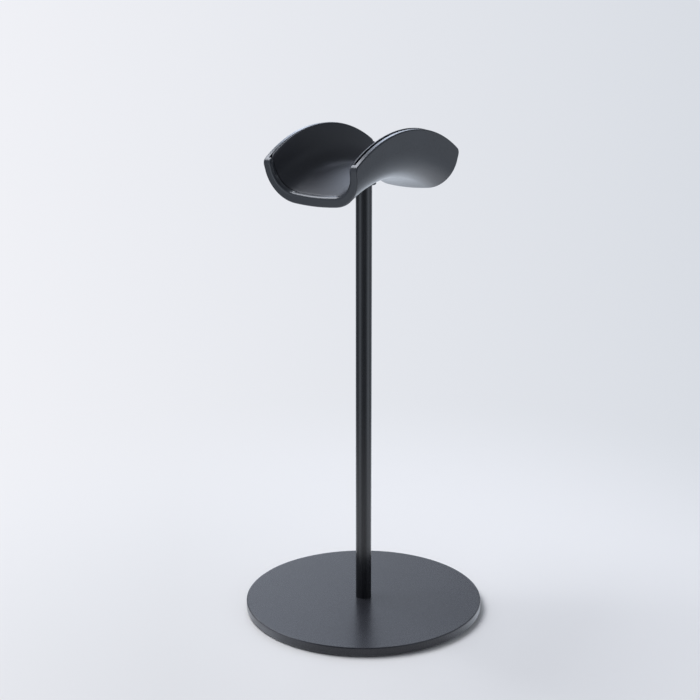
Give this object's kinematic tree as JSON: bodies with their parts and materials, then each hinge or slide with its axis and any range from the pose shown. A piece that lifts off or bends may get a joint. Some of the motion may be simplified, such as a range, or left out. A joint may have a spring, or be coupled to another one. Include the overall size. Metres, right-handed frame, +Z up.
{
  "type": "headphone stand",
  "caption": "Desk headphone stand: round weighted base, slim straight pole and an arched, soft-lined channel cradle that carries the headband.",
  "frame": {"origin": "on the table under the pole's axis, at the underside of the anti-slip pad", "axes": "+Z up along the pole; +X along the cradle's arch, the way a headband lies over it; +Y across the cradle"},
  "size_m": [0.13, 0.13, 0.2655],
  "materials": {
    "pad_rubber": "matt, fine closed-cell grain",
    "base_powder_coat": "fine-textured satin powder coat",
    "zinc_steel": "bright zinc plate",
    "pole_black": "smooth satin black",
    "cradle_plastic": "satin moulded plastic with a fine spark-eroded grain",
    "insert_brass": "turned",
    "liner_rubber": "soft-touch satin silicone"
  },
  "bodies": {
    "stand": {"base_pad": "pad_rubber", "base_plate": "base_powder_coat", "base_screw": "zinc_steel", "pole": "pole_black", "pole_stud": "zinc_steel"},
    "cradle": {"cradle_shell": "cradle_plastic", "cradle_insert": "insert_brass", "cradle_liner": "liner_rubber"}
  },
  "joints": [
    {"name": "cradle_turn", "type": "hinge", "parent": "stand", "child": "cradle", "pos_m": [0, 0, 0.23635], "axis": [0, 0, 1], "range_deg": [-180, 180]}
  ]
}
